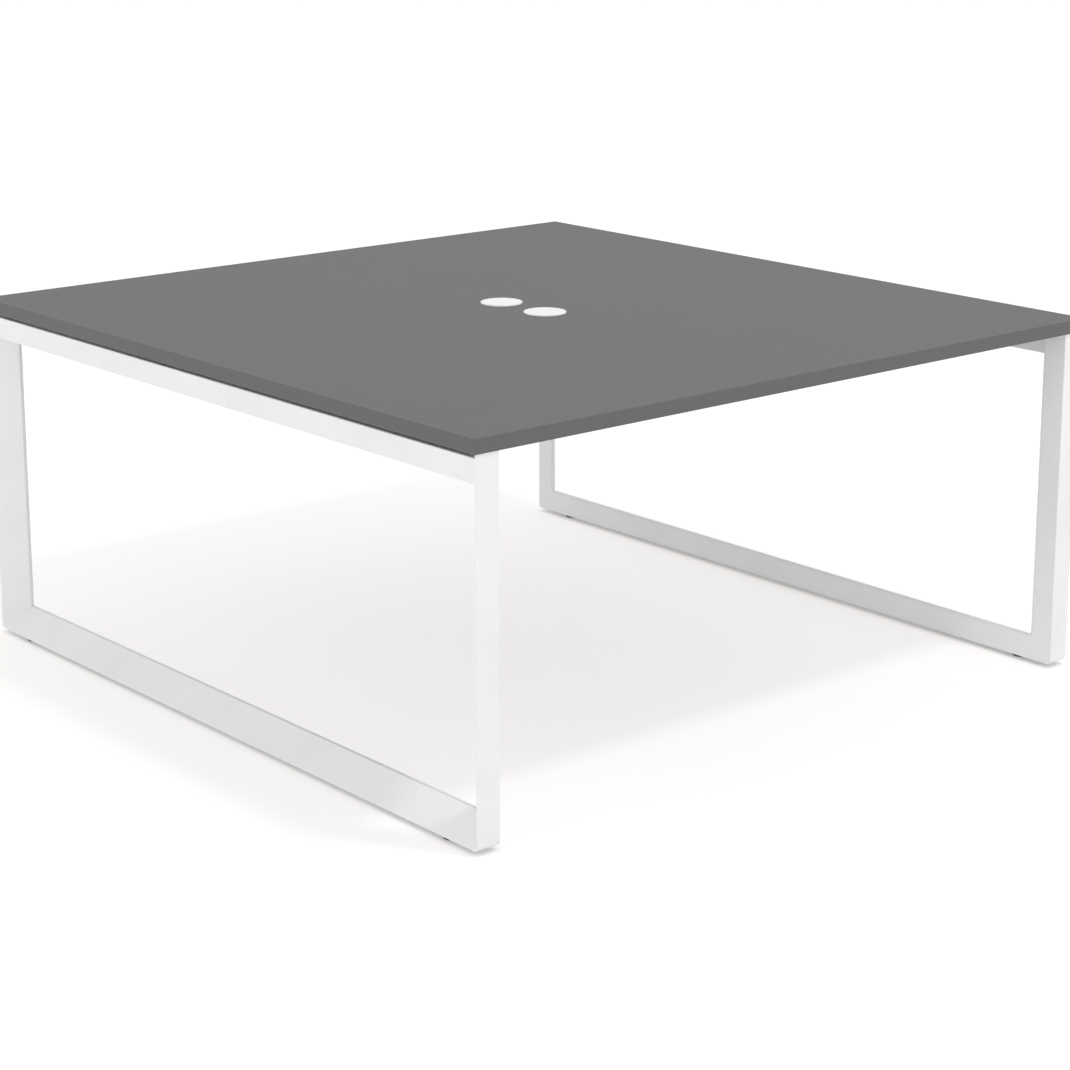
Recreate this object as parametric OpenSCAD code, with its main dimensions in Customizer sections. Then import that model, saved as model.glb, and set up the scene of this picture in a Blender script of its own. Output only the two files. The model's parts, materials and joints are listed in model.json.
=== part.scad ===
// Conference table: one laminate top on two closed steel end frames, joined by two beams.
// Units are millimetres, +Z is up, and the origin is on the floor under the middle of the top.
// The end frames stand at the left (-X) and right (+X) ends. -Y is the front.

/* [Table] */
// Width of the top, across the two end frames
table_w = 1600; // [1200:10:1800]
// Depth of the top, along the end frames
table_d = 1650; // [1300:10:1800]
// Height of the top surface above the floor
table_h = 740; // [700:5:780]

/* [Top] */
// Thickness of the laminated board
top_t = 28; // [22:1:36]
// Thickness of the edge bands
band_t = 2; // [1.5:0.5:3]
// Radius on the long edges and corners of the bands
band_r = 1.5; // [0.5:0.25:1.5]
// How far the top stands over the end frames on every side
overhang = 3; // [2:1:20]

/* [End frames] */
// Width of the frame section at its outer perimeter
frame_w = 53; // [50:1:60]
// Height of the frame section, from the outer perimeter to the inner lip
frame_h = 54; // [50:1:60]
// Width of the inner lip, where the sloping face ends
lip_w = 8; // [7:0.5:12]
// Wall of the frame tubes
frame_wall = 2.5; // [2:0.25:3]
// Radius of the round corners of the closed frame
corner_r = 12; // [6:1:16]
// Radius of the bent long edges
edge_r = 2; // [1:0.5:3]
// Clear height under the lower rail
floor_gap = 8; // [7:0.5:12]
// Width of the seam groove beside the inner lip
seam_w = 1.2; // [0.8:0.1:1.5]
// Depth of the seam groove
seam_depth = 1; // [0.5:0.1:1.2]
// Distance of the seam groove from the lip
seam_edge = 3; // [2.5:0.5:5]
// Thickness of the plate that closes the top of each upright
head_plate_t = 5; // [4:1:8]

/* [Upper rails and beams] */
// Width of the upper rail tube
rail_w = 40; // [36:1:42]
// Height of the upper rail tube and of the beams
rail_h = 45; // [40:1:50]
// Shadow gap between the upper rails and the top
shadow_gap = 6; // [4:0.5:10]
// Width of the beams
beam_w = 40; // [30:1:50]
// Wall of the beams
beam_wall = 2; // [1.5:0.25:3]
// Distance of each beam from the middle of the table
beam_y = 400; // [250:10:550]
// Thickness of the end flanges of the beams
flange_t = 5; // [4:0.5:8]
// Distance of each flange bolt from the middle of its beam
flange_bolt_y = 35; // [34:1:45]
// Flange material beyond its bolts
flange_margin = 12; // [10:1:16]

/* [Fasteners] */
// Distance of the outer rail screws from the ends of the frame
rail_screw_inset = 92; // [80:1:160]
// Distance of the inner rail screws from the middle of the rail
rail_screw_in = 140; // [60:5:300]
// Distance of the outer beam screws from the ends of the beam
beam_screw_inset = 152; // [60:1:200]
// Shank diameter of the top screws
screw_d = 6; // [5:1:6]
// Head diameter of the top screws
screw_head_d = 12; // [10:1:14]
// Head height of the top screws
screw_head_h = 3.6; // [3:0.2:5]
// Length of screw in its insert
screw_grip = 12; // [10:1:14]
// Outer diameter of the threaded inserts
insert_d = 10; // [9:0.5:12]
// Diameter of the spacer discs
spacer_d = 22; // [16:1:28]
// Diameter of the flange bolts
bolt_d = 8; // [6:1:8]
// Length of the flange bolts under the head
bolt_l = 20; // [18:1:25]
// Thickness of the flange bolt washers
washer_t = 1.6; // [1:0.2:2]

/* [Cable ports] */
// Diameter of the port holes in the top
port_d = 80; // [60:1:80]
// Distance between the two port centres
port_pitch = 140; // [100:1:160]
// Width of the liner's flange beyond the hole
port_flange_w = 4; // [3:0.5:8]
// Height of the liner's flange above the top
port_flange_h = 2.5; // [2:0.25:4]
// Depth of the seat in the board that the flange is let into
port_rebate = 1; // [0.5:0.25:2]
// Wall of the liner's sleeve
port_wall = 2; // [1.5:0.25:3]
// Width of the liner's visible rim around the cap
port_rim_w = 3.5; // [2.5:0.25:3.5]
// Thickness of each cap's disc
cap_t = 2; // [1.4:0.1:2.2]
// Height of the skirt under each cap
cap_skirt_h = 8; // [6:1:14]
// Wall of the skirt
skirt_wall = 1.5; // [1:0.25:2]
// Height of the sleeve's lower end above the underside of the top
sleeve_short = 2; // [1:0.5:6]

/* [Levelling feet] */
// Distance of each foot from the end of its frame
foot_inset = 100; // [70:5:200]
// Diameter of the foot pads
pad_d = 32; // [26:1:40]
// Height of the foot pads
pad_h = 5; // [4.5:0.25:5.5]
// Thread diameter of the foot studs
stud_d = 8; // [8:1:10]
// Length of stud above the lower rail's underside
stud_l = 20; // [18:0.5:21]
// Height of the threaded bush inside the lower rail
bush_h = 12; // [10:0.5:12]
// Wall of the threaded bush
bush_wall = 3; // [2:0.5:4]
// Width of the ring by which the stud's head stands out in its pad
stud_head_lip = 2.3; // [1.8:0.1:3]
// Height of the stud's head
stud_head_h = 2.1; // [1.5:0.1:2.2]
// Width of the stud's collar beyond the thread, at its flats
collar_lip = 2.5; // [2:0.5:4]
// Plastic under the stud's head
pad_floor = 1.2; // [1:0.1:1.5]
// Chamfer round the foot pads
pad_chamfer = 1.2; // [0.8:0.1:1.8]

/* [Clearances] */
// Radial gap round fixed pieces in their holes
fit_gap = 0.1; // [0.05:0.05:0.2]
// Radial gap of the pieces that turn or slide
run_gap = 0.05; // [0.03:0.01:0.08]
// Gap round a lift-off cap
cap_gap = 0.2; // [0.1:0.05:0.4]
// Radial gap of drilled holes round screws, bolts and studs
hole_gap = 0.5; // [0.3:0.1:0.8]

/* [Hidden] */

// Sides and ends of the table
left = -1;
right = 1;
front = -1;
rear = 1;

// Finishes
laminate_grey = [0.36, 0.36, 0.37];
coat_white = [0.95, 0.95, 0.95];
port_white = [0.97, 0.97, 0.96];
foot_black = [0.08, 0.08, 0.08];
zinc_grey = [0.7, 0.71, 0.73];

// Roundness of bores and turned pieces, and steps in a bent edge
$fn = 64;
bend_steps = 5;
// Cuts run this far past a face
over = 1;

// The rounded arrises of the bands leave at least this much of their thickness flat
band_flat = 0.1;
band_soft = min(band_r, band_t - band_flat);

// Heights
top_z = table_h - top_t;
rail_top_z = top_z - shadow_gap;
rail_low_z = rail_top_z - rail_h;

// The closed frames
frame_x = table_w / 2 - overhang;
frame_d = table_d - 2 * overhang;
slope_w = frame_w - lip_w;
wedge_corners = [[0, 0], [frame_w, 0], [frame_w, frame_h], [slope_w, frame_h]];
slope = frame_h / slope_w;

// The upper rails and the beams
rail_corners = [[0, 0], [rail_w, 0], [rail_w, rail_h], [0, rail_h]];
beam_corners = [[-beam_w / 2, 0], [beam_w / 2, 0], [beam_w / 2, rail_h], [-beam_w / 2, rail_h]];
rail_mid_z = rail_low_z + rail_h / 2;
flange_x = frame_x - rail_w;
flange_w = 2 * (flange_bolt_y + flange_margin);
beam_l = 2 * (flange_x - flange_t);
// The rail tube starts this far in, so that its scribed tip is not a knife edge
rail_tip = 1;

// Screws, with the usual proportions of a hexagon socket
socket_share = 2 / 3;
socket_depth_share = 0.6;
screw_r = screw_d / 2;
insert_r = insert_d / 2;
insert_spare = 2;
socket_af = socket_share * screw_d;
socket_depth = socket_depth_share * screw_head_h;
screw_hole_r = screw_r + hole_gap;
rail_screw_x = frame_x - rail_w / 2;
rail_screw_out = frame_d / 2 - rail_screw_inset;
rail_screw_ys = [-rail_screw_out, -rail_screw_in, rail_screw_in, rail_screw_out];
beam_screw_out = beam_l / 2 - beam_screw_inset;
beam_screw_xs = [for (share = [-1, -1 / 3, 1 / 3, 1]) share * beam_screw_out];

// Flange bolts, with the usual proportions of hexagon heads, nuts and washers
flats_share = 1.625;
bolt_head_share = 0.65;
nut_share = 0.8;
washer_share = 2;
bolt_r = bolt_d / 2;
bolt_af = flats_share * bolt_d;
bolt_head_h = bolt_head_share * bolt_d;
bolt_hole_r = bolt_r + hole_gap;
nut_h = nut_share * bolt_d;
washer_r = washer_share * bolt_r;

// Cable ports
port_r = port_d / 2;
sleeve_r = port_r - fit_gap;
sleeve_in_r = sleeve_r - port_wall;
flange_r = port_r + port_flange_w;
cap_seat_r = flange_r - port_rim_w;
cap_r = cap_seat_r - cap_gap;
flange_low_z = table_h - port_rebate;
cap_seat_z = table_h + port_flange_h - cap_t;
sleeve_low_z = top_z + sleeve_short;
skirt_r = sleeve_in_r - cap_gap;
// Rounding of the liner's rim and of the cap's edge
rim_soft = 0.8;
cap_soft = 0.4;

// Levelling feet
foot_x = frame_x - frame_w / 2;
foot_y = frame_d / 2 - foot_inset;
stud_r = stud_d / 2;
pad_r = pad_d / 2;
stud_head_r = stud_r + stud_head_lip;
collar_af = stud_d + 2 * collar_lip;

// Unit vector along v
function unit(v) = v / norm(v);

// Half of the angle at the corner "here" between its two neighbours
function half_angle(before, here, after) =
    acos(unit(before - here) * unit(after - here)) / 2;

// Point inside a corner that lies a distance d from both of its sides
function inset_point(before, here, after, d) =
    here + unit(unit(before - here) + unit(after - here)) * d / sin(half_angle(before, here, after));

// Corner i of a closed outline, counted past either end
function corner(outline, i) = outline[(i + len(outline)) % len(outline)];

// Outline moved in by d on every side
function inset(outline, d) = [
    for (i = [0 : len(outline) - 1])
        inset_point(corner(outline, i - 1), outline[i], corner(outline, i + 1), d)
];

// Arc of radius r round the point c, starting at the angle a
function arc(c, r, a, sweep) = [
    for (i = [0 : bend_steps])
        c + r * [cos(a + sweep * i / bend_steps), sin(a + sweep * i / bend_steps)]
];

// Convex outline, drawn anticlockwise, with every corner rounded to radius r
function rounded(outline, r) = [
    for (i = [0 : len(outline) - 1])
        let (
            before = corner(outline, i - 1),
            here = outline[i],
            after = corner(outline, i + 1),
            out = here - before
        )
        each arc(
            inset_point(before, here, after, r), r,
            atan2(out.y, out.x) - 90, 180 - 2 * half_angle(before, here, after)
        )
];

// Moves a piece of the left frame, drawn with its outer face at x = 0, to either side
module at_side(side) {
    mirror([side == right ? 1 : 0, 0, 0])
        translate([-frame_x, 0, 0])
            children();
}

// Moves a front piece to either end
module at_end(end) {
    mirror([0, end == rear ? 1 : 0, 0])
        children();
}

// Stretches an outline in Y and Z along X
module along_x(length) {
    rotate([90, 0, 90])
        linear_extrude(length)
            children();
}

// Stretches an outline in X and Z along Y, from y = 0
module along_y(length) {
    laid_along_y(length)
        linear_extrude(length)
            children();
}

// Hexagonal prism, measured across its flats
module hex_prism(across, height) {
    cylinder(r = across / sqrt(3), h = height, $fn = 6);
}

// What lies outside a round corner of radius r, centred "centre" in from both outer faces
module outside_corner(centre, r) {
    difference() {
        translate([-over, -over, -over])
            cube([frame_w + 2 * over, centre + over, centre + over]);
        translate([-2 * over, centre, centre])
            rotate([0, 90, 0])
                cylinder(r = r, h = frame_w + 4 * over);
    }
}

// Everything on one side of the mitre through the frame's lower corner
module mitre_waste(below) {
    far = frame_h + over;
    translate([-over, 0, 0])
        along_x(frame_w + 2 * over)
            polygon(below
                ? [[-over, -over], [far, -over], [far, far]]
                : [[-over, -over], [far, far], [-over, far]]);
}

// Laminated board with its port holes and their rebates, and the blind holes for the inserts
module table_top() {
    board_w = table_w - 2 * band_t;
    board_d = table_d - 2 * band_t;
    color(laminate_grey)
        difference() {
            translate([-board_w / 2, -board_d / 2, top_z])
                cube([board_w, board_d, top_t]);
            for (end = [front, rear])
                translate([0, end * port_pitch / 2, 0]) {
                    translate([0, 0, top_z - over])
                        cylinder(r = port_r, h = top_t + 2 * over);
                    translate([0, 0, flange_low_z])
                        cylinder(r = flange_r + fit_gap, h = port_rebate + over);
                }
            at_top_screws()
                translate([0, 0, top_z - over])
                    cylinder(r = insert_r, h = screw_grip + insert_spare + over);
        }
}

// Section of an edge band: flat inside, with soft arrises outside
module band_section() {
    difference() {
        square([band_t, top_t]);
        for (high = [0, 1])
            translate([0, high * top_t])
                mirror([0, high])
                    difference() {
                        translate([-over, -over])
                            square(band_soft + over);
                        translate([band_soft, band_soft])
                            circle(r = band_soft);
                    }
    }
}

// Band along a side edge, with its upright corners rounded as well
module side_band(side) {
    cut = band_soft + over;
    color(laminate_grey)
        mirror([side == right ? 1 : 0, 0, 0])
            translate([-table_w / 2, 0, top_z])
                difference() {
                    translate([0, -table_d / 2, 0])
                        along_y(table_d)
                            band_section();
                    for (end = [front, rear])
                        at_end(end)
                            translate([0, -table_d / 2, -over])
                                difference() {
                                    translate([-over, -over, 0])
                                        cube([cut, cut, top_t + 2 * over]);
                                    translate([band_soft, band_soft, -over])
                                        cylinder(r = band_soft, h = top_t + 4 * over);
                                }
                }
}

// Band along the front or rear edge, between the side bands
module end_band(end) {
    length = table_w - 2 * band_t;
    color(laminate_grey)
        at_end(end)
            translate([-length / 2, -table_d / 2, top_z])
                along_x(length)
                    band_section();
}

// Groove where the bent sheet of a frame tube is closed, on its inner flat face
module seam_groove(length) {
    translate([frame_w - seam_depth, frame_h - seam_edge - seam_w, -over])
        cube([seam_depth + over, seam_w, length + 2 * over]);
}

// Hollow upright: sloping outer face, mitred and rounded at the lower corner
module upright(side, end) {
    length = top_z - floor_gap;
    color(coat_white)
        at_side(side)
            at_end(end)
                translate([0, -frame_d / 2, floor_gap])
                    difference() {
                        linear_extrude(length)
                            polygon(rounded(wedge_corners, edge_r));
                        difference() {
                            translate([0, 0, -over])
                                linear_extrude(length + 2 * over)
                                    polygon(inset(wedge_corners, frame_wall));
                            outside_corner(corner_r, corner_r - frame_wall);
                        }
                        outside_corner(corner_r, corner_r);
                        seam_groove(length);
                        mitre_waste(true);
                    }
}

// Lays a piece that stands on its end down along Y, from y = 0
module laid_along_y(length) {
    translate([0, length, 0])
        rotate([90, 0, 0])
            children();
}

// Hollow lower rail between the mitres, with a hole over each levelling foot
module lower_rail(side) {
    color(coat_white)
        at_side(side)
            translate([0, -frame_d / 2, floor_gap])
                difference() {
                    along_y(frame_d)
                        polygon(rounded(wedge_corners, edge_r));
                    difference() {
                        translate([0, -over, 0])
                            along_y(frame_d + 2 * over)
                                polygon(inset(wedge_corners, frame_wall));
                        both_ends()
                            outside_corner(corner_r, corner_r - frame_wall);
                    }
                    both_ends()
                        outside_corner(corner_r, corner_r);
                    laid_along_y(frame_d)
                        seam_groove(frame_d);
                    both_ends()
                        mitre_waste(false);
                    both_ends()
                        translate([frame_w / 2, foot_inset, -over])
                            cylinder(r = stud_r + hole_gap, h = frame_wall + 2 * over);
                }
}

// Repeats a cut at the start and at the end of a lower rail
module both_ends() {
    children();
    translate([0, frame_d, 0])
        mirror([0, 1, 0])
            children();
}

// Upper rail: rectangular tube scribed to the sloping faces of its two uprights
module upper_rail(side) {
    length = frame_d - 2 * rail_tip;
    reach = rail_w + over;
    color(coat_white)
        at_side(side)
            difference() {
                translate([0, -length / 2, rail_low_z])
                    along_y(length)
                        difference() {
                            polygon(rounded(rail_corners, edge_r));
                            polygon(inset(rail_corners, frame_wall));
                        }
                for (end = [front, rear])
                    at_end(end)
                        translate([0, -frame_d / 2, rail_low_z - over])
                            linear_extrude(rail_h + 2 * over)
                                polygon([
                                    [-over, -over * slope],
                                    [reach, -over * slope],
                                    [reach, reach * slope]
                                ]);
                for (y = rail_screw_ys)
                    translate([rail_w / 2, y, rail_low_z - over])
                        cylinder(r = screw_hole_r, h = rail_h + 2 * over);
                at_rail_bolts()
                    translate([rail_w - frame_wall - over, 0, 0])
                        rotate([0, 90, 0])
                            cylinder(r = bolt_hole_r, h = frame_wall + 2 * over);
            }
}

// Places of the flange bolts on the left frame, seen from the outer face
module at_rail_bolts() {
    for (end = [front, rear])
        for (step = [-1, 1])
            translate([0, end * beam_y + step * flange_bolt_y, rail_mid_z])
                children();
}

// Plate welded into the top of an upright, flush with its end
module head_plate(side, end) {
    color(coat_white)
        at_side(side)
            at_end(end)
                translate([0, -frame_d / 2, top_z - head_plate_t])
                    linear_extrude(head_plate_t)
                        polygon(inset(wedge_corners, frame_wall + fit_gap));
}

// Beam tube under the top, from flange to flange
module beam(end) {
    color(coat_white)
        difference() {
            translate([-beam_l / 2, end * beam_y, rail_low_z])
                along_x(beam_l)
                    difference() {
                        polygon(rounded(beam_corners, edge_r));
                        polygon(inset(beam_corners, beam_wall));
                    }
            for (x = beam_screw_xs)
                translate([x, end * beam_y, rail_low_z - over])
                    cylinder(r = screw_hole_r, h = rail_h + 2 * over);
        }
}

// Flange plate on the end of a beam, bolted to the upper rail
module beam_flange(side, end) {
    color(coat_white)
        at_side(side)
            difference() {
                translate([rail_w, end * beam_y - flange_w / 2, rail_low_z])
                    cube([flange_t, flange_w, rail_h]);
                at_rail_bolts()
                    translate([rail_w - over, 0, 0])
                        rotate([0, 90, 0])
                            cylinder(r = bolt_hole_r, h = flange_t + 2 * over);
            }
}

// Hexagon bolts that hold the beam flanges to the upper rails
module flange_bolts() {
    head_x = rail_w + flange_t + washer_t;
    color(zinc_grey)
        for (side = [left, right])
            at_side(side)
                at_rail_bolts()
                    union() {
                        translate([head_x, 0, 0])
                            rotate([0, 90, 0])
                                hex_prism(bolt_af, bolt_head_h);
                        translate([head_x - bolt_l, 0, 0])
                            rotate([0, 90, 0])
                                cylinder(r = bolt_r, h = bolt_l);
                    }
}

// Washers under the flange bolts
module flange_washers() {
    color(zinc_grey)
        for (side = [left, right])
            at_side(side)
                at_rail_bolts()
                    translate([rail_w + flange_t, 0, 0])
                        rotate([0, 90, 0])
                            difference() {
                                cylinder(r = washer_r, h = washer_t);
                                translate([0, 0, -over])
                                    cylinder(r = bolt_r + fit_gap, h = washer_t + 2 * over);
                            }
}

// Nuts welded inside the upper rails for the flange bolts
module rail_weld_nuts() {
    color(zinc_grey)
        for (side = [left, right])
            at_side(side)
                at_rail_bolts()
                    translate([rail_w - frame_wall - nut_h, 0, 0])
                        rotate([0, 90, 0])
                            difference() {
                                hex_prism(bolt_af, nut_h);
                                translate([0, 0, -over])
                                    cylinder(r = bolt_r + fit_gap, h = nut_h + 2 * over);
                            }
}

// Places of the screws that hold the top, on the rails and on the beams
module at_top_screws() {
    for (side = [left, right])
        for (y = rail_screw_ys)
            translate([side * rail_screw_x, y, 0])
                children();
    for (end = [front, rear])
        for (x = beam_screw_xs)
            translate([x, end * beam_y, 0])
                children();
}

// Discs that carry the top above the rails and beams
module top_spacers() {
    color(foot_black)
        at_top_screws()
            translate([0, 0, rail_top_z])
                difference() {
                    cylinder(d = spacer_d, h = shadow_gap);
                    translate([0, 0, -over])
                        cylinder(r = screw_r + fit_gap, h = shadow_gap + 2 * over);
                }
}

// Button-head screws from below, through rail or beam and spacer into the inserts
module top_screws() {
    shank = rail_h + shadow_gap + screw_grip;
    color(zinc_grey)
        at_top_screws()
            translate([0, 0, rail_low_z])
                difference() {
                    union() {
                        translate([0, 0, -screw_head_h])
                            button_head();
                        cylinder(r = screw_r, h = shank);
                    }
                    translate([0, 0, -screw_head_h - over])
                        hex_prism(socket_af, socket_depth + over);
                }
}

// Round head with a soft lower edge
module button_head() {
    head_r = screw_head_d / 2;
    soft = screw_head_h / 2;
    rotate_extrude()
        polygon(concat(
            [[0, screw_head_h], [0, 0]],
            arc([head_r - soft, soft], soft, -90, 90),
            [[head_r, screw_head_h]]
        ));
}

// Threaded inserts in the underside of the board
module top_inserts() {
    color(zinc_grey)
        at_top_screws()
            translate([0, 0, top_z])
                difference() {
                    cylinder(r = insert_r - fit_gap, h = screw_grip);
                    translate([0, 0, -over])
                        cylinder(r = screw_r + fit_gap, h = screw_grip + 2 * over);
                }
}

// Threaded bushes welded inside the lower rails, over the feet
module foot_bushes() {
    color(zinc_grey)
        for (side = [left, right])
            for (end = [front, rear])
                translate([side * foot_x, end * foot_y, floor_gap + frame_wall])
                    difference() {
                        cylinder(r = stud_r + bush_wall, h = bush_h);
                        translate([0, 0, -over])
                            cylinder(r = stud_r + run_gap, h = bush_h + 2 * over);
                    }
}

// Liner of a cable port: sleeve through the top, with a let-in flange and a seat for the cap
module port_liner(end) {
    rim_z = table_h + port_flange_h;
    color(port_white)
        translate([0, end * port_pitch / 2, 0])
            rotate_extrude()
                polygon(concat(
                    [
                        [sleeve_in_r, sleeve_low_z], [sleeve_r, sleeve_low_z],
                        [sleeve_r, flange_low_z], [flange_r, flange_low_z]
                    ],
                    arc([flange_r - rim_soft, rim_z - rim_soft], rim_soft, 0, 90),
                    [
                        [cap_seat_r, rim_z], [cap_seat_r, cap_seat_z],
                        [sleeve_in_r, cap_seat_z]
                    ]
                ));
}

// Lift-off cap of a cable port: a disc in the flange's seat, with a skirt inside the sleeve
module port_cap(end) {
    color(port_white)
        translate([0, end * port_pitch / 2, cap_seat_z])
            rotate_extrude()
                polygon(concat(
                    [
                        [0, 0], [skirt_r - skirt_wall, 0],
                        [skirt_r - skirt_wall, -cap_skirt_h], [skirt_r, -cap_skirt_h],
                        [skirt_r, 0], [cap_r, 0]
                    ],
                    arc([cap_r - cap_soft, cap_t - cap_soft], cap_soft, 0, 90),
                    [[0, cap_t]]
                ));
}

// Stud of a levelling foot: head held in the pad, hexagon collar and threaded shank
module foot_stud(side, end) {
    color(zinc_grey)
        translate([side * foot_x, end * foot_y, 0])
            union() {
                translate([0, 0, pad_floor + run_gap])
                    cylinder(r = stud_head_r, h = stud_head_h);
                translate([0, 0, pad_floor + run_gap])
                    cylinder(r = stud_r, h = floor_gap + stud_l - pad_floor - run_gap);
                translate([0, 0, pad_h])
                    hex_prism(collar_af, floor_gap - pad_h);
            }
}

// Foot pad: low disc that holds the head of its stud
module foot_pad(side, end) {
    socket_top = pad_floor + stud_head_h + 2 * run_gap;
    color(foot_black)
        translate([side * foot_x, end * foot_y, 0])
            rotate_extrude()
                polygon([
                    [0, 0], [pad_r - pad_chamfer, 0], [pad_r, pad_chamfer],
                    [pad_r, pad_h - pad_chamfer], [pad_r - pad_chamfer, pad_h],
                    [stud_r + run_gap, pad_h], [stud_r + run_gap, socket_top],
                    [stud_head_r + run_gap, socket_top], [stud_head_r + run_gap, pad_floor],
                    [0, pad_floor]
                ]);
}

table_top();
end_band(front);  // edge_band_front
end_band(rear);  // edge_band_rear
side_band(left);  // edge_band_left
side_band(right);  // edge_band_right
upright(left, front);  // left_front_upright
upright(left, rear);  // left_rear_upright
lower_rail(left);  // left_lower_rail
upper_rail(left);  // left_upper_rail
upright(right, front);  // right_front_upright
upright(right, rear);  // right_rear_upright
lower_rail(right);  // right_lower_rail
upper_rail(right);  // right_upper_rail
head_plate(left, front);  // left_front_head_plate
head_plate(left, rear);  // left_rear_head_plate
head_plate(right, front);  // right_front_head_plate
head_plate(right, rear);  // right_rear_head_plate
beam(front);  // front_beam
beam_flange(left, front);  // front_beam_left_flange
beam_flange(right, front);  // front_beam_right_flange
beam(rear);  // rear_beam
beam_flange(left, rear);  // rear_beam_left_flange
beam_flange(right, rear);  // rear_beam_right_flange
flange_bolts();
flange_washers();
rail_weld_nuts();
top_spacers();
top_screws();
top_inserts();
foot_bushes();
port_liner(front);  // front_port_liner
port_liner(rear);  // rear_port_liner
port_cap(front);  // front_port_cap
port_cap(rear);  // rear_port_cap
foot_stud(left, front);  // left_front_foot_stud
foot_stud(left, rear);  // left_rear_foot_stud
foot_stud(right, front);  // right_front_foot_stud
foot_stud(right, rear);  // right_rear_foot_stud
foot_pad(left, front);  // left_front_foot_pad
foot_pad(left, rear);  // left_rear_foot_pad
foot_pad(right, front);  // right_front_foot_pad
foot_pad(right, rear);  // right_rear_foot_pad
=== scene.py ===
"""Conference table: finishes, fine pieces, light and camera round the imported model."""

import json
import math

import bmesh
import bpy
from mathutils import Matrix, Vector


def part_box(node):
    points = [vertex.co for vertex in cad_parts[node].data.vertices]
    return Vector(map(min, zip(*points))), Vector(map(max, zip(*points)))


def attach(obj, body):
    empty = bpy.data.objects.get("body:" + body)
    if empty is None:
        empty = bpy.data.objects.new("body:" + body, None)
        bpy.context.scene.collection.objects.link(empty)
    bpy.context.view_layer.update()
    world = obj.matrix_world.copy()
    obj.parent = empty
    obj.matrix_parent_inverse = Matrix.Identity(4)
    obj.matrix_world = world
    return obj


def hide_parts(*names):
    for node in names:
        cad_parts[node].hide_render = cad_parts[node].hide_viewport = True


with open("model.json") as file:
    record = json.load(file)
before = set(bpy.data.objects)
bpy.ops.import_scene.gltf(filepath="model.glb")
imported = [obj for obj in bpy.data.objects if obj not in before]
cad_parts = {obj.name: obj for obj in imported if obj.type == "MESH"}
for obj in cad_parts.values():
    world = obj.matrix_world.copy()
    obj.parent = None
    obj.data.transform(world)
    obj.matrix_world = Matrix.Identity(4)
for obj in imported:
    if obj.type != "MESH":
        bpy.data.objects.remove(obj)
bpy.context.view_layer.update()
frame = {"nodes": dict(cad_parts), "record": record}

MM = 0.001
WHITE = (1, 1, 1, 1)
TABLE_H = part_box("table_top")[1].z
TOP_T = TABLE_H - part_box("table_top")[0].z


def linear(level):
    """Linear value of an sRGB level from 0 to 255."""
    share = level / 255
    return share / 12.92 if share <= 0.04045 else ((share + 0.055) / 1.055) ** 2.4


def grey(level, warm=0.0):
    """Colour of an sRGB level, neutral or a little warmer."""
    value = linear(level)
    return (value * (1 + warm), value, value * (1 - warm), 1)


# Node helpers


def new_material(name):
    """A material with its tree and its shader."""
    material = bpy.data.materials.new(name)
    material.use_nodes = True
    return material, material.node_tree, material.node_tree.nodes["Principled BSDF"]


def set_shader(shader, **values):
    """Sets constants on the shader's own sockets."""
    for name, value in values.items():
        shader.inputs[name.replace("_", " ")].default_value = value


def paint(tree, shader, colour, roughness):
    """Links a colour and a roughness to the shader."""
    tree.links.new(colour, shader.inputs["Base Color"])
    tree.links.new(roughness, shader.inputs["Roughness"])


def object_point(tree, stretch=(1, 1, 1)):
    """Point on the object in metres, stretched along its axes."""
    coords = tree.nodes.new("ShaderNodeTexCoord")
    mapping = tree.nodes.new("ShaderNodeMapping")
    mapping.inputs["Scale"].default_value = stretch
    tree.links.new(coords.outputs["Object"], mapping.inputs["Vector"])
    return mapping.outputs["Vector"]


def noise(tree, scale, detail=2.0, rough=0.5, stretch=(1, 1, 1)):
    """Noise with "scale" grains to the metre."""
    made = tree.nodes.new("ShaderNodeTexNoise")
    made.inputs["Scale"].default_value = scale
    made.inputs["Detail"].default_value = detail
    made.inputs["Roughness"].default_value = rough
    tree.links.new(object_point(tree, stretch), made.inputs["Vector"])
    return made.outputs["Fac"]


def cells(tree, scale, stretch=(1, 1, 1)):
    """Grey of the cell round each point, with "scale" cells to the metre."""
    made = tree.nodes.new("ShaderNodeTexVoronoi")
    made.inputs["Scale"].default_value = scale
    tree.links.new(object_point(tree, stretch), made.inputs["Vector"])
    tone = tree.nodes.new("ShaderNodeRGBToBW")
    tree.links.new(made.outputs["Color"], tone.inputs["Color"])
    return tone.outputs["Val"]


def ramp(tree, source, stops):
    """Colour ramp with the stops (place, colour)."""
    made = tree.nodes.new("ShaderNodeValToRGB")
    ends = made.color_ramp.elements
    for at, (place, colour) in enumerate(stops):
        stop = ends[at] if at < len(ends) else ends.new(place)
        stop.position = place
        stop.color = colour
    tree.links.new(source, made.inputs["Fac"])
    return made.outputs["Color"]


def between(tree, source, low, high, start=0.3, end=0.7):
    """Number from low to high as the source goes from start to end."""
    made = tree.nodes.new("ShaderNodeMapRange")
    for name, value in (("From Min", start), ("From Max", end), ("To Min", low), ("To Max", high)):
        made.inputs[name].default_value = value
    tree.links.new(source, made.inputs["Value"])
    return made.outputs["Result"]


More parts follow.
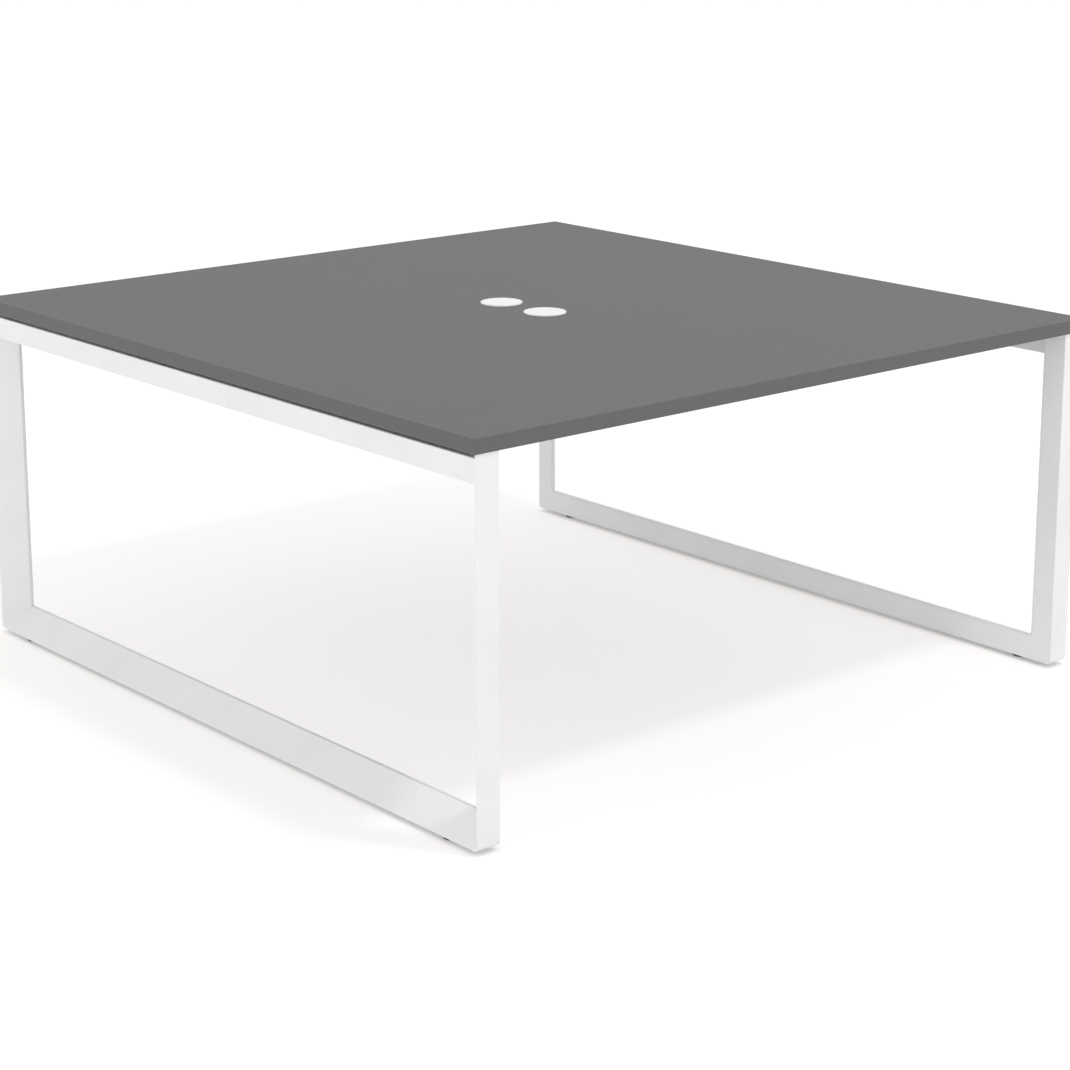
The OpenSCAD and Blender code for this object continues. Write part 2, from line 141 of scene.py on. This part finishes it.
def mix_colour(tree, share, first, second, kind="MIX"):
    """Mix of two colours, each a socket or a colour, by a share."""
    made = tree.nodes.new("ShaderNodeMix")
    made.data_type = "RGBA"
    made.blend_type = kind
    for name, value in (("Factor", share), ("A", first), ("B", second)):
        is_colour = name != "Factor"
        socket = next(s for s in made.inputs if s.name == name and (s.type == "RGBA") == is_colour)
        if isinstance(value, bpy.types.NodeSocket):
            tree.links.new(value, socket)
        else:
            socket.default_value = value
    return next(s for s in made.outputs if s.type == "RGBA")


def calc(tree, what, first, second=0.0):
    """One step of arithmetic on sockets or numbers."""
    made = tree.nodes.new("ShaderNodeMath")
    made.operation = what
    for at, value in enumerate((first, second)):
        if isinstance(value, bpy.types.NodeSocket):
            tree.links.new(value, made.inputs[at])
        else:
            made.inputs[at].default_value = value
    return made.outputs[0]


def split_axes(tree, point):
    """Outputs X, Y and Z of a point."""
    made = tree.nodes.new("ShaderNodeSeparateXYZ")
    tree.links.new(point, made.inputs[0])
    return made.outputs


def bump(tree, shader, *layers):
    """Stacks layers of relief (source, height in metres, strength) on the shader's normal."""
    below = None
    for source, height, strength in layers:
        made = tree.nodes.new("ShaderNodeBump")
        made.inputs["Distance"].default_value = height
        made.inputs["Strength"].default_value = strength
        tree.links.new(source, made.inputs["Height"])
        if below:
            tree.links.new(below, made.inputs["Normal"])
        below = made.outputs["Normal"]
    tree.links.new(below, shader.inputs["Normal"])


# Finishes

LAMINATE_T = 0.8 * MM
CHIP_TONES = [(0.35, (0.19, 0.12, 0.06, 1)), (0.7, (0.5, 0.36, 0.22, 1))]
ZINC_TINTS = [
    (0.25, (0.60, 0.63, 0.68, 1)), (0.55, (0.70, 0.70, 0.70, 1)), (0.8, (0.72, 0.69, 0.61, 1)),
]


def laminate():
    """Dark grey laminate with a fine pearl texture, over a chipboard core."""
    material, tree, shader = new_material("laminate")
    speck = noise(tree, scale=1500, detail=3, rough=0.6)
    face = ramp(tree, speck, [(0.34, grey(97)), (0.66, grey(113))])
    cloud = between(tree, noise(tree, scale=5), 0.0, 0.16)
    face = mix_colour(tree, cloud, face, grey(99))
    flakes = ramp(tree, noise(tree, scale=420, detail=3, rough=0.7), CHIP_TONES)
    chips = cells(tree, scale=500, stretch=(1, 1, 2.5))
    core = mix_colour(tree, 0.55, flakes, chips, "SOFT_LIGHT")
    height = split_axes(tree, object_point(tree))["Z"]
    from_middle = calc(tree, "ABSOLUTE", calc(tree, "SUBTRACT", height, TABLE_H - TOP_T / 2))
    in_core = calc(tree, "LESS_THAN", from_middle, TOP_T / 2 - LAMINATE_T)
    colour = mix_colour(tree, in_core, face, core)
    paint(tree, shader, colour, between(tree, noise(tree, scale=700), 0.5, 0.62))
    set_shader(shader, Specular_IOR_Level=0.14)
    bump(tree, shader, (speck, 0.06 * MM, 0.35), (noise(tree, scale=260), 0.05 * MM, 0.25))
    return material


def edge_band(name, stretch):
    """Edge band in the laminate's grey, with faint lines along its length."""
    material, tree, shader = new_material(name)
    lines = noise(tree, scale=1, detail=3, rough=0.6, stretch=stretch)
    face = ramp(tree, lines, [(0.25, grey(98)), (0.75, grey(104))])
    paint(tree, shader, face, between(tree, noise(tree, scale=600), 0.4, 0.52))
    set_shader(shader, Specular_IOR_Level=0.25)
    bump(tree, shader, (lines, 0.04 * MM, 0.4), (noise(tree, scale=1300), 0.04 * MM, 0.3))
    return material


def white_coat():
    """White powder coat with a fine orange peel."""
    material, tree, shader = new_material("white_coat")
    peel = noise(tree, scale=620, rough=0.45)
    grain = noise(tree, scale=2600, rough=0.6)
    tone = ramp(tree, noise(tree, scale=9, detail=3), [(0.3, grey(239)), (0.7, grey(243))])
    paint(tree, shader, tone, between(tree, peel, 0.28, 0.4))
    set_shader(shader, Specular_IOR_Level=0.5)
    bump(tree, shader, (peel, 0.08 * MM, 0.3), (grain, 0.03 * MM, 0.3))
    return material


def port_plastic():
    """White moulded plastic with a satin spark texture."""
    material, tree, shader = new_material("port_plastic")
    spark = noise(tree, scale=3200, rough=0.6)
    tone = ramp(tree, noise(tree, scale=30), [(0.3, grey(243, 0.002)), (0.7, grey(246, 0.003))])
    paint(tree, shader, tone, between(tree, spark, 0.3, 0.44))
    set_shader(shader, Specular_IOR_Level=0.5, Subsurface_Weight=0.08, Subsurface_Scale=1.5 * MM)
    bump(tree, shader, (spark, 0.03 * MM, 0.35))
    return material


def black_plastic():
    """Matt black moulded plastic with scuffs in its grain."""
    material, tree, shader = new_material("black_plastic")
    grain = noise(tree, scale=2400, detail=3, rough=0.6)
    tone = ramp(tree, noise(tree, scale=160, detail=3), [(0.3, grey(30)), (0.75, grey(44))])
    paint(tree, shader, tone, between(tree, grain, 0.45, 0.65))
    set_shader(shader, Specular_IOR_Level=0.45)
    bump(tree, shader, (grain, 0.05 * MM, 0.4))
    return material


def black_rubber():
    """Dull black rubber of the spacers."""
    material, tree, shader = new_material("black_rubber")
    grain = noise(tree, scale=1800, detail=3, rough=0.65)
    tone = ramp(tree, grain, [(0.3, grey(34)), (0.75, grey(50))])
    paint(tree, shader, tone, between(tree, grain, 0.7, 0.85))
    set_shader(shader, Specular_IOR_Level=0.3)
    bump(tree, shader, (grain, 0.05 * MM, 0.5))
    return material


def zinc_steel():
    """Bright zinc plate: fine crystals, turning marks and a faint change of tint."""
    material, tree, shader = new_material("zinc_steel")
    marks = noise(tree, scale=900, detail=3, rough=0.6, stretch=(1, 1, 6))
    tint = ramp(tree, noise(tree, scale=130), ZINC_TINTS)
    paint(tree, shader, tint, between(tree, marks, 0.24, 0.42))
    set_shader(shader, Metallic=1.0)
    bump(tree, shader, (marks, 0.02 * MM, 0.4))
    return material


def dress(materials, band_x, band_y):
    """Gives each CAD node the finish that the record names for it."""
    for part in frame["record"]["subparts"]:
        name, slot = part["node"], part["material_slot"]
        finish = materials.get(slot)
        if slot == "edge_band":
            finish = band_x if name in ("edge_band_front", "edge_band_rear") else band_y
        mesh = frame["nodes"][name].data
        mesh.materials.clear()
        mesh.materials.append(finish)


# Light, floor and camera


def white_to_the_eye(tree, lit, white, share):
    """Shader "lit", with a share of "white" mixed in where camera, gloss or glass sees it."""
    path = tree.nodes.new("ShaderNodeLightPath")
    seen = calc(tree, "MAXIMUM", path.outputs["Is Camera Ray"], path.outputs["Is Glossy Ray"])
    seen = calc(tree, "MAXIMUM", seen, path.outputs["Is Transmission Ray"])
    mixed = tree.nodes.new("ShaderNodeMixShader")
    tree.links.new(calc(tree, "MULTIPLY", seen, share), mixed.inputs["Fac"])
    tree.links.new(lit, mixed.inputs[1])
    tree.links.new(white, mixed.inputs[2])
    return mixed.outputs[0]


def make_world(overhead, side, lean):
    """Studio light that grows from overhead to the sides and leans one way, seen as white."""
    world = bpy.data.worlds.new("studio")
    bpy.context.scene.world = world
    world.use_nodes = True
    tree = world.node_tree
    tree.nodes.clear()
    lit, white = (tree.nodes.new("ShaderNodeBackground") for _ in range(2))
    for background in (lit, white):
        background.inputs["Color"].default_value = WHITE
    axes = split_axes(tree, tree.nodes.new("ShaderNodeTexCoord").outputs["Generated"])
    low = calc(tree, "SUBTRACT", 1.0, calc(tree, "ABSOLUTE", axes["Z"]))
    level = calc(tree, "MULTIPLY", calc(tree, "MULTIPLY", low, low), side)
    tilts = [calc(tree, "MULTIPLY", axes[axis], by) for axis, by in zip("XY", lean)]
    tilt = calc(tree, "ADD", calc(tree, "ADD", *tilts), 1.0)
    level = calc(tree, "MULTIPLY", level, tilt)
    tree.links.new(calc(tree, "ADD", level, overhead), lit.inputs["Strength"])
    seen = white_to_the_eye(tree, lit.outputs[0], white.outputs[0], 1.0)
    out = tree.nodes.new("ShaderNodeOutputWorld")
    tree.links.new(seen, out.inputs["Surface"])


FLOOR_TONES = [(0.3, (0.97, 0.966, 0.962, 1)), (0.7, (0.98, 0.976, 0.972, 1))]
FLOOR_SEEN = (1.0, 0.974, 0.954, 1)
# Contact shade under the rails: its reach, its share of the seen white where it is darkest, and
# the openness of the floor to the sky between which it fades
CONTACT = 20 * MM
CONTACT_DARK = 0.41
CONTACT_FROM, CONTACT_TO = 0.1, 0.95
CONTACT_SAMPLES = 16


def make_floor(size, white_level, white_share):
    """Pale floor that is white where it is fully lit, with painted contact shade under the rails
    and feet, and lets the view from below through.
    """
    mesh = bpy.data.meshes.new("floor")
    half = size / 2
    corners = [(-half, -half, 0), (half, -half, 0), (half, half, 0), (-half, half, 0)]
    mesh.from_pydata(corners, [], [(0, 1, 2, 3)])
    floor = bpy.data.objects.new("floor", mesh)
    bpy.context.scene.collection.objects.link(floor)
    material, tree, shader = new_material("floor")
    tone = ramp(tree, noise(tree, scale=1.5, detail=3), FLOOR_TONES)
    tree.links.new(tone, shader.inputs["Base Color"])
    set_shader(shader, Roughness=0.7, Specular_IOR_Level=0.2)
    # Painted contact shade: the seen white's strength drops where occlusion finds rails and feet
    # close above the floor
    painted_contact_shade = tree.nodes.new("ShaderNodeAmbientOcclusion")
    painted_contact_shade.samples = CONTACT_SAMPLES
    painted_contact_shade.inputs["Distance"].default_value = CONTACT
    dark_level = CONTACT_DARK * white_level
    level = between(tree, painted_contact_shade.outputs["AO"], dark_level, white_level, CONTACT_FROM, CONTACT_TO)
    white = tree.nodes.new("ShaderNodeEmission")
    white.inputs["Color"].default_value = FLOOR_SEEN
    tree.links.new(level, white.inputs["Strength"])
    top_side = white_to_the_eye(tree, shader.outputs[0], white.outputs[0], white_share)
    clear = tree.nodes.new("ShaderNodeBsdfTransparent")
    sides = tree.nodes.new("ShaderNodeMixShader")
    back = tree.nodes.new("ShaderNodeNewGeometry")
    tree.links.new(back.outputs["Backfacing"], sides.inputs["Fac"])
    tree.links.new(top_side, sides.inputs[1])
    tree.links.new(clear.outputs[0], sides.inputs[2])
    tree.links.new(sides.outputs[0], tree.nodes["Material Output"].inputs["Surface"])
    mesh.materials.append(material)


def make_key(place, aim, size, strength):
    """Key light: a square lamp that lights what it aims at as a sun of this strength would."""
    lamp = bpy.data.lights.new("key", "AREA")
    lamp.size = size
    towards = Vector(place) - Vector(aim)
    lamp.energy = strength * math.pi * towards.length_squared
    key = bpy.data.objects.new("key", lamp)
    key.location = place
    key.rotation_mode = "QUATERNION"
    key.rotation_quaternion = towards.to_track_quat("Z", "Y")
    key.visible_camera = False
    bpy.context.scene.collection.objects.link(key)


SENSOR_WIDTH = 36
CLIP_START, CLIP_END = 0.1, 200


def make_camera(place, yaw, pitch, lens, shift_y):
    """Camera of the photograph: yaw from +X towards +Y, pitch downwards, in degrees."""
    camera = bpy.data.cameras.new("camera")
    camera.sensor_width = SENSOR_WIDTH
    camera.lens = lens
    camera.shift_y = shift_y
    camera.clip_start, camera.clip_end = CLIP_START, CLIP_END
    eye = bpy.data.objects.new("camera", camera)
    turn, tip = math.radians(yaw), math.radians(pitch)
    level = math.cos(tip)
    ahead = Vector((math.cos(turn) * level, math.sin(turn) * level, -math.sin(tip)))
    eye.rotation_mode = "QUATERNION"
    eye.rotation_quaternion = ahead.to_track_quat("-Z", "Y")
    eye.location = place
    bpy.context.scene.collection.objects.link(eye)
    bpy.context.scene.camera = eye


# Fine pieces

SHARP_ANGLE = math.radians(40)


def add_piece(name, build, body, finish):
    """Makes a piece in mesh code, on a body, with the finish it is given."""
    mesh = bpy.data.meshes.new(name)
    made = bmesh.new()
    build(made)
    bmesh.ops.recalc_face_normals(made, faces=made.faces)
    made.to_mesh(mesh)
    made.free()
    for face in mesh.polygons:
        face.use_smooth = True
    mesh.set_sharp_from_angle(angle=SHARP_ANGLE)
    mesh.materials.append(finish)
    piece = bpy.data.objects.new(name, mesh)
    bpy.context.scene.collection.objects.link(piece)
    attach(piece, body)
    return piece


def steps_between(low, high, count):
    """Numbers from low to high in equal steps."""
    return [low + (high - low) * step / count for step in range(count + 1)]


def skin(made, rings):
    """Closed solid over rings of points, from one ring to the next."""
    rings = [[made.verts.new(point) for point in ring] for ring in rings]
    for low, high in zip(rings, rings[1:]):
        for at in range(len(low)):
            after = (at + 1) % len(low)
            made.faces.new((low[at], low[after], high[after], high[at]))
    made.faces.new(list(reversed(rings[0])))
    made.faces.new(rings[-1])


def lathe(made, centre, rows, steps):
    """Closed solid turned round an upright axis.

    Each row gives a height and a radius, which may be a function of the angle.
    """
    rings = []
    for z, radius in rows:
        ring = []
        for step in range(steps):
            turn = 2 * math.pi * step / steps
            r = radius(turn) if callable(radius) else radius
            ring.append((centre.x + r * math.cos(turn), centre.y + r * math.sin(turn), z))
        rings.append(ring)
    skin(made, rings)


# Foot studs: a trapezoid thread above a hexagon collar, and a head that is held in the pad
THREAD_PITCH = 1.25 * MM
THREAD_DEPTH = 0.65 * MM
THREAD_R = 4.0 * MM
THREAD_ROOT_R = THREAD_R - THREAD_DEPTH
THREAD_LEVELS = 130
FLANK_SLOPE, FLANK_START = 1.9, 0.45
COLLAR_LOW, COLLAR_HIGH = 5.0 * MM, 8.0 * MM
COLLAR_ACROSS = 13 * MM
CHAMFER = 0.5 * MM
HEAD_R, HEAD_H = 6.3 * MM, 2.1 * MM
STUD_STEPS = 48


def thread_radius(z, z_end):
    """Radius round the stud at height z, where the thread fades out at its upper end."""
    def radius(turn):
        phase = (z / THREAD_PITCH - turn / (2 * math.pi)) % 1
        flank = min(1.0, max(0.0, 2 * abs(phase - 0.5) * FLANK_SLOPE - FLANK_START))
        lead = min(1.0, (z_end - z) / THREAD_PITCH)
        return THREAD_R - THREAD_DEPTH * (1 - flank * lead)
    return radius


def hexagon(across, corner_r):
    """Radius round a hexagon of a width across its flats, with its corners turned off."""
    def radius(turn):
        off = (turn + math.pi / 6) % (math.pi / 3) - math.pi / 6
        return min(across / 2 / math.cos(off), corner_r)
    return radius


def foot_stud(name, finish):
    """Threaded stud with its collar and its head in the pad, in place of the plain one."""
    node = name + "_foot_stud"
    low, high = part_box(node)
    centre = (low + high) / 2
    collar_r = (high.x - low.x) / 2
    collar = hexagon(COLLAR_ACROSS, collar_r)
    collar_rim = hexagon(COLLAR_ACROSS, collar_r - CHAMFER)
    rows = [
        (low.z, HEAD_R - CHAMFER), (low.z + CHAMFER, HEAD_R), (low.z + HEAD_H, HEAD_R),
        (low.z + HEAD_H, THREAD_R), (COLLAR_LOW, THREAD_R),
        (COLLAR_LOW, collar_rim), (COLLAR_LOW + CHAMFER, collar),
        (COLLAR_HIGH - CHAMFER, collar), (COLLAR_HIGH, collar_rim),
        (COLLAR_HIGH, THREAD_ROOT_R),
    ]
    for z in steps_between(COLLAR_HIGH, high.z, THREAD_LEVELS)[1:]:
        rows.append((z, thread_radius(z, high.z)))
    piece = add_piece(
        name + "_threaded_stud", lambda made: lathe(made, centre, rows, STUD_STEPS),
        name + "_stud", finish,
    )
    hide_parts(node)


# Foot pads: ribs round the rim, grip rings underneath and the socket of the stud's head on top
PAD_RIBS = 36
RIB_DEPTH = 0.45 * MM
RIBS_FROM, RIBS_BELOW_TOP = 1.0 * MM, 1.4 * MM
SOLE_EDGE, SOLE_INSET = 0.8 * MM, 0.2 * MM
GRIP_DEPTH = 0.5 * MM
GRIP_RINGS = 4
GRIP_FIRST, GRIP_PITCH = 3.4, 2.9
# Sections in mm. Middle of the sole: radii. Grip ring and the groove outside it: depth as a share
# of GRIP_DEPTH, and way outwards. Shoulder: below the top, and inside the rim. Socket: below the
# top, and radius
SOLE_MIDDLE = (1.0, 3.0)
GRIP_SECTION = ((0, 0), (0, 1.6), (1, 2.0), (1, 2.6))
SHOULDER = ((0.8, 0.3), (0.24, 0.8), (0, 1.6))
SOCKET = ((0, 4.6), (0.5, 4.1), (1.2, 4.1))


def ribbed(radius, depth):
    """Radius round a disc with soft upright ribs."""
    def at(turn):
        return radius - depth * (0.5 - 0.5 * math.cos(PAD_RIBS * turn)) ** 2
    return at


def foot_pad(name, finish):
    """Foot pad with a ribbed rim and grip rings underneath, in place of the plain one."""
    node = name + "_foot_pad"
    low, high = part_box(node)
    centre = (low + high) / 2
    radius, height = (high.x - low.x) / 2, high.z - low.z
    rim = ribbed(radius, RIB_DEPTH)
    rows = [(GRIP_DEPTH, r * MM) for r in SOLE_MIDDLE]
    for ring in range(GRIP_RINGS):
        start = (GRIP_FIRST + GRIP_PITCH * ring) * MM
        rows += [(deep * GRIP_DEPTH, start + out * MM) for deep, out in GRIP_SECTION]
    rows += [(SOLE_EDGE, radius - SOLE_INSET), (RIBS_FROM, rim), (height - RIBS_BELOW_TOP, rim)]
    rows += [(height - down * MM, radius - inwards * MM) for down, inwards in SHOULDER]
    rows += [(height - down * MM, r * MM) for down, r in SOCKET]
    rows = [(low.z + z, r) for z, r in rows]
    piece = add_piece(
        name + "_ribbed_pad", lambda made: lathe(made, centre, rows, 6 * PAD_RIBS),
        name + "_pad", finish,
    )
    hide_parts(node)


# Welds. The uprights' outer faces rise this much along Y for each step along X
SCRIBE = 54 / 45
TUBE_SOFT = 2 * MM
RAIL_TIP = 1 * MM
WELD_MARGIN = 1.5 * MM

# Flush fill: levels as shares of the soft edge, the hollow at its open end, and the side that
# lies hidden, in mm inwards and along the frame
FILL_SHARES = (0, 0.05, 0.15, 0.3, 0.5, 0.75, 1)
FILL_HOLLOW = 1.2 * MM
FILL_HIDDEN = ((4.27, 0), (4.27, 0.6), (3.4, 2.6), (3.1, 3.4), (2.7, 3.6))
FILL_UNDER = (0.4 * MM, 0.5 * MM)

# Beads: sizes at rails and flanges, the directions in degrees between which each bead shows,
# the ripples along it, and how finely it is made
RAIL_BEAD, RAIL_BEAD_TURNS = 5.5 * MM, (50, 92)
FLANGE_BEAD, FLANGE_BEAD_TURNS = 3.4 * MM, (-3, 93)
RIPPLE, RIPPLE_SHARE = 1.7 * MM, 0.05
BEAD_ROOT = -0.15 * MM
BEAD_LEAST = 0.05 * MM
BEAD_END = 0.01 * MM
BEAD_LEVELS = 110
ARC_STEPS = 8


def rippled(z, low, high, size):
    """Size of a weld bead at height z, with ripples and tapered ends."""
    off = abs(z - (low + high) / 2) / ((high - low) / 2)
    ripple = RIPPLE_SHARE * size * math.cos(2 * math.pi * z / RIPPLE) * (1 - off ** 4)
    return size * (1 - off ** 10) ** 0.5 + ripple


def flush_fill(made, place, low, high):
    """Weld ground flush over the groove between the rail's tip and the upright's soft edge."""
    edges = [share * TUBE_SOFT for share in FILL_SHARES]
    levels = [low + e for e in edges] + [high - e for e in reversed(edges)]
    rings = []
    for z in levels:
        edge = min(z - low, high - z, TUBE_SOFT)
        back = TUBE_SOFT - math.sqrt(max(0, TUBE_SOFT ** 2 - (TUBE_SOFT - edge) ** 2))
        start = max(RAIL_TIP, SCRIBE * back)
        ring = []
        for turn in steps_between(0, math.pi / 2, ARC_STEPS):
            ring.append((back + FILL_HOLLOW * (1 - math.cos(turn)), start * (1 - math.sin(turn))))
        ring += [(x * MM, y * MM) for x, y in FILL_HIDDEN]
        ring.append((back + FILL_UNDER[0], start + FILL_UNDER[1]))
        rings.append([place(x, y, z) for x, y in ring])
    skin(made, rings)


def corner_bead(made, place, low, high, size, turns):
    """Weld bead in an upright corner, between two directions from the corner's apex."""
    first, last = (math.radians(turn) for turn in turns)
    rings = []
    for z in steps_between(low + BEAD_END, high - BEAD_END, BEAD_LEVELS):
        reach = max(BEAD_LEAST, rippled(z, low, high, size))
        ring = [(BEAD_ROOT, BEAD_ROOT)]
        for turn in steps_between(first, last, ARC_STEPS):
            ring.append((reach * math.cos(turn), reach * math.sin(turn)))
        rings.append([place(x, y, z) for x, y in ring])
    skin(made, rings)


def rail_weld(side, end, finish):
    """Welds of an upper rail to one of its uprights: flush outside, a bead inside."""
    rail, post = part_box(side + "_upper_rail"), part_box(f"{side}_{end}_upright")
    in_x, outer = (1, rail[0].x) if side == "left" else (-1, rail[1].x)
    in_y, tip = (1, post[0].y) if end == "front" else (-1, post[1].y)
    wide = rail[1].x - rail[0].x

    def outside(x, y, z):
        return (outer + in_x * x, tip + in_y * y, z)

    def inside(x, y, z):
        return outside(wide + x, SCRIBE * wide + y, z)

    def build(made):
        low, high = rail[0].z, rail[1].z
        flush_fill(made, outside, low, high)
        corner_bead(
            made, inside, low + WELD_MARGIN, high - WELD_MARGIN, RAIL_BEAD, RAIL_BEAD_TURNS,
        )
    add_piece(f"{side}_{end}_rail_weld", build, "table", finish)


def flange_weld(side, end, finish):
    """Two upright beads between a beam and its end flange."""
    beam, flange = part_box(end + "_beam"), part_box(f"{end}_beam_{side}_flange")
    in_x, face = (1, flange[1].x) if side == "left" else (-1, flange[0].x)
    low, high = beam[0].z + WELD_MARGIN, beam[1].z - WELD_MARGIN

    def build(made):
        for out_y, edge in ((-1, beam[0].y), (1, beam[1].y)):
            corner_bead(
                made, lambda x, y, z, o=out_y, e=edge: (face + in_x * x, e + o * y, z),
                low, high, FLANGE_BEAD, FLANGE_BEAD_TURNS,
            )
    add_piece(f"{end}_beam_{side}_weld", build, "table", finish)


def main():
    finishes = {
        "laminate": laminate(),
        "white_coat": white_coat(),
        "port_plastic": port_plastic(),
        "black_plastic": black_plastic(),
        "black_rubber": black_rubber(),
        "zinc_steel": zinc_steel(),
    }
    band_x = edge_band("edge_band_along_x", stretch=(3, 900, 900))
    band_y = edge_band("edge_band_along_y", stretch=(900, 3, 900))
    dress(finishes, band_x, band_y)
    for name in ("left_front", "left_rear", "right_front", "right_rear"):
        foot_stud(name, finishes["zinc_steel"])
        foot_pad(name, finishes["black_plastic"])
    for side in ("left", "right"):
        for end in ("front", "rear"):
            rail_weld(side, end, finishes["white_coat"])
            flange_weld(side, end, finishes["white_coat"])
    make_world(overhead=0.6, side=1.02, lean=(-0.15, 0.2))
    make_floor(size=80, white_level=1.355, white_share=0.44)
    make_key(place=(0.68, -3.2, 7.2), aim=(0, 0, TABLE_H), size=0.7, strength=0.72)
    make_camera(
        place=(-3.3878, -4.0242, 1.7494), yaw=49.637, pitch=13.538, lens=86.76, shift_y=-0.1,
    )
    bpy.context.scene.view_settings.view_transform = "Standard"


main()
